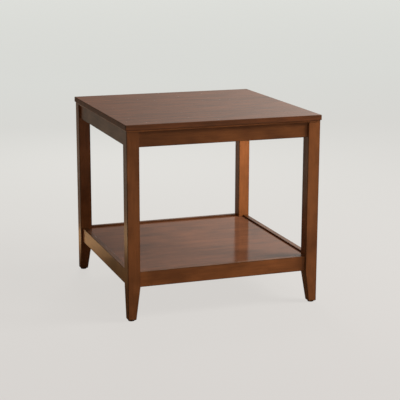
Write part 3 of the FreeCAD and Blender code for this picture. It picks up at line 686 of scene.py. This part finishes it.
# Soft boxes: (name, place, target, size, power, whether gloss sees it, spread in degrees).
SOFT_BOXES = (
    ("key softbox", (2.2, -1.0, 2.0), (0.0, 0.0, 0.3), (1.2, 1.2), 110.0, True, 180),
    ("back softbox", (0.5, 2.4, 1.6), (0.0, 0.0, 0.5), (1.0, 1.0), 55.0, False, 180),
    ("front fill", (0.4, -3.2, 0.35), (0.0, 0.0, 0.35), (1.5, 0.4), 7.0, False, 180),
    ("back leg fill", (0.283, -0.02, 0.335), (0.283, 0.27, 0.335), (0.03, 0.36), 0.098, False, 40),
)

# Lamps that shine straight up from the floor on the left, towards the back:
# (name, x, y, size, power, colour).
BOUNCE_LAMP_HEIGHT = 0.01
BOUNCE_LAMPS = (
    ("warm bounce far", -0.50, 0.64, (0.28, 0.28), 0.62, (1.0, 0.58, 0.26)),
    ("warm bounce middle", -0.48, 0.43, (0.26, 0.14), 0.145, (1.0, 0.58, 0.26)),
    ("warm bounce near", -0.45, 0.18, (0.24, 0.36), 0.065, (1.0, 0.56, 0.20)),
)


def seen_directly(tree, path):
    """1 for the camera's rays, also through glass, and 0 for all others."""
    return math_node(tree, "MAXIMUM", path.outputs["Is Camera Ray"], path.outputs["Is Transmission Ray"])


def paint_floor():
    """Pale floor that keeps the table's shadow and fades into the backdrop far away."""
    material, tree, shader = new_material("studio floor")
    shader.inputs["Roughness"].default_value = FLOOR_ROUGHNESS
    shader.inputs["Specular IOR Level"].default_value = 0.0
    path = new_node(tree, "ShaderNodeLightPath")
    place = new_node(tree, "ShaderNodeTexCoord").outputs["Object"]
    along = new_node(tree, "ShaderNodeSeparateXYZ", {0: place})
    distance = new_node(tree, "ShaderNodeVectorMath", {0: place}, operation="LENGTH").outputs["Value"]

    tone = map_range(tree, along.outputs["Y"], *FLOOR_TONE_REACH, 0.0, 1.0)
    colour = mix_colours(tree, tone, FLOOR_NEAR, FLOOR_FAR)
    # Painted reflection: near the table, gloss sees the floor darker and warmer, as in the table's shade.
    near = map_range(tree, distance, *REFLECTED_SHADE_REACH, 1.0, 0.0)
    painted_tint = mix_colours(tree, near, REFLECTED_SHADE_FAR, REFLECTED_SHADE_NEAR)
    seen = mix_colours(tree, path.outputs["Is Glossy Ray"], colour, painted_tint, blend="MULTIPLY")
    plain = new_node(tree, "ShaderNodeEmission", {"Color": seen})
    bounced = mix_colours(tree, 1.0, seen, (FLOOR_BOUNCE,) * 3, blend="MULTIPLY")
    link(tree, bounced, shader.inputs["Base Color"])

    in_gloss = math_node(tree, "MULTIPLY", path.outputs["Is Glossy Ray"], FLOOR_GLOSS_SHARE)
    own = math_node(tree, "MAXIMUM", seen_directly(tree, path), in_gloss)
    share = math_node(tree, "MULTIPLY", own, 1.0 - SHADOW_SHARE)
    surface = mix_shaders(tree, share, shader.outputs["BSDF"], plain.outputs["Emission"])
    far = map_range(tree, distance, *FLOOR_FADE, 0.0, 1.0)
    clear = new_node(tree, "ShaderNodeBsdfTransparent")
    surface = mix_shaders(tree, far, surface, clear.outputs["BSDF"])
    link(tree, surface, tree.nodes["Material Output"].inputs["Surface"])
    return material


def make_floor():
    """A wide round floor under the table."""
    bpy.ops.object.select_all(action="DESELECT")
    bpy.ops.mesh.primitive_circle_add(vertices=128, radius=FLOOR_RADIUS, fill_type="NGON")
    floor = bpy.context.object
    floor.name = "studio_floor"
    floor.data.materials.append(paint_floor())


def soft_glow(tree, direction, base, lobes, colour):
    """A background whose strength rises towards each lobe's direction."""
    strength = None
    for axis, tightness, power in lobes:
        inputs = {0: direction, 1: Vector(axis).normalized()}
        towards = new_node(tree, "ShaderNodeVectorMath", inputs, operation="DOT_PRODUCT")
        facing = math_node(tree, "MAXIMUM", towards.outputs["Value"], 0.0)
        lobe = math_node(tree, "MULTIPLY", math_node(tree, "POWER", facing, tightness), power)
        strength = lobe if strength is None else math_node(tree, "ADD", strength, lobe)
    inputs = {"Color": (*colour, 1.0), "Strength": math_node(tree, "ADD", strength, base)}
    return new_node(tree, "ShaderNodeBackground", inputs).outputs["Background"]


def light_world():
    """An even backdrop for the camera, a brighter right side for gloss, and soft light on the table."""
    world = bpy.data.worlds.new("studio")
    bpy.context.scene.world = world
    world.use_nodes = True
    # The world isn't sampled as a lamp, because its light is soft.
    world.cycles.sampling_method = "NONE"
    tree = world.node_tree
    outwards = new_node(tree, "ShaderNodeTexCoord").outputs["Generated"]
    unit = new_node(tree, "ShaderNodeVectorMath", {0: outwards}, operation="NORMALIZE")
    direction = unit.outputs["Vector"]
    soft = soft_glow(tree, direction, SOFT_LIGHT_BASE, SOFT_LIGHT, WHITE)
    gloss = soft_glow(tree, direction, REFLECTED_LIGHT_BASE, REFLECTED_LIGHT, BACKDROP)
    plain = tree.nodes["Background"]
    plain.inputs["Color"].default_value = (*BACKDROP, 1.0)
    path = new_node(tree, "ShaderNodeLightPath")
    surroundings = mix_shaders(tree, path.outputs["Is Glossy Ray"], soft, gloss)
    seen = seen_directly(tree, path)
    surroundings = mix_shaders(tree, seen, surroundings, plain.outputs["Background"])
    link(tree, surroundings, tree.nodes["World Output"].inputs["Surface"])


def add_lamp(name, place, target, size, power, in_gloss, spread=180, colour=WHITE):
    """A soft box aimed at a target. The camera doesn't see it, and gloss does only if told so."""
    lamp = bpy.data.lights.new(name, "AREA")
    lamp.shape = "RECTANGLE"
    lamp.size, lamp.size_y = size
    lamp.energy = power
    lamp.spread = math.radians(spread)
    lamp.color = colour
    holder = bpy.data.objects.new(name, lamp)
    holder.location = place
    aim = Vector(target) - Vector(place)
    holder.rotation_euler = aim.to_track_quat("-Z", "Y").to_euler()
    holder.visible_camera = False
    holder.visible_glossy = in_gloss
    bpy.context.scene.collection.objects.link(holder)


def add_lamps():
    """The soft boxes and the lamps on the floor."""
    for box in SOFT_BOXES:
        add_lamp(*box)
    for name, x, y, size, power, colour in BOUNCE_LAMPS:
        place = (x, y, BOUNCE_LAMP_HEIGHT)
        add_lamp(name, place, (x, y, 1.0), size, power, in_gloss=True, colour=colour)


# ---- camera --------------------------------------------------------------------------------------

# The place is in metres, the turns are in degrees and the lens is in millimetres.
CAMERA_PLACE = (-1.2115, -3.4934, 1.1353)
CAMERA_YAW = -19.517
CAMERA_PITCH = 13.034
CAMERA_ROLL = 0.156
FOCAL_LENGTH = 106.9
SENSOR_WIDTH = 36.0


def make_camera():
    """A long lens that looks down at the front and the left side."""
    camera = bpy.data.cameras.new("camera")
    camera.lens = FOCAL_LENGTH
    camera.sensor_width = SENSOR_WIDTH
    holder = bpy.data.objects.new("camera", camera)
    turn = Euler((math.radians(90 - CAMERA_PITCH), 0, math.radians(CAMERA_YAW)), "XYZ").to_matrix()
    roll = Matrix.Rotation(math.radians(CAMERA_ROLL), 3, "Z")
    holder.matrix_world = Matrix.LocRotScale(Vector(CAMERA_PLACE), (turn @ roll).to_quaternion(), None)
    bpy.context.scene.collection.objects.link(holder)
    bpy.context.scene.camera = holder


# ---- the scene -----------------------------------------------------------------------------------

finish_nodes()
fit_at_corners(make_bolt(), "threaded_bolt", BOLT_FROM, "hanger_bolts", 0.0)
fit_at_corners(make_nut(), "chamfered_nut", NUT_FROM, "bolt_nuts", NUT_TURN)
make_floor()
light_world()
add_lamps()
make_camera()
bpy.context.scene.view_settings.view_transform = "Standard"
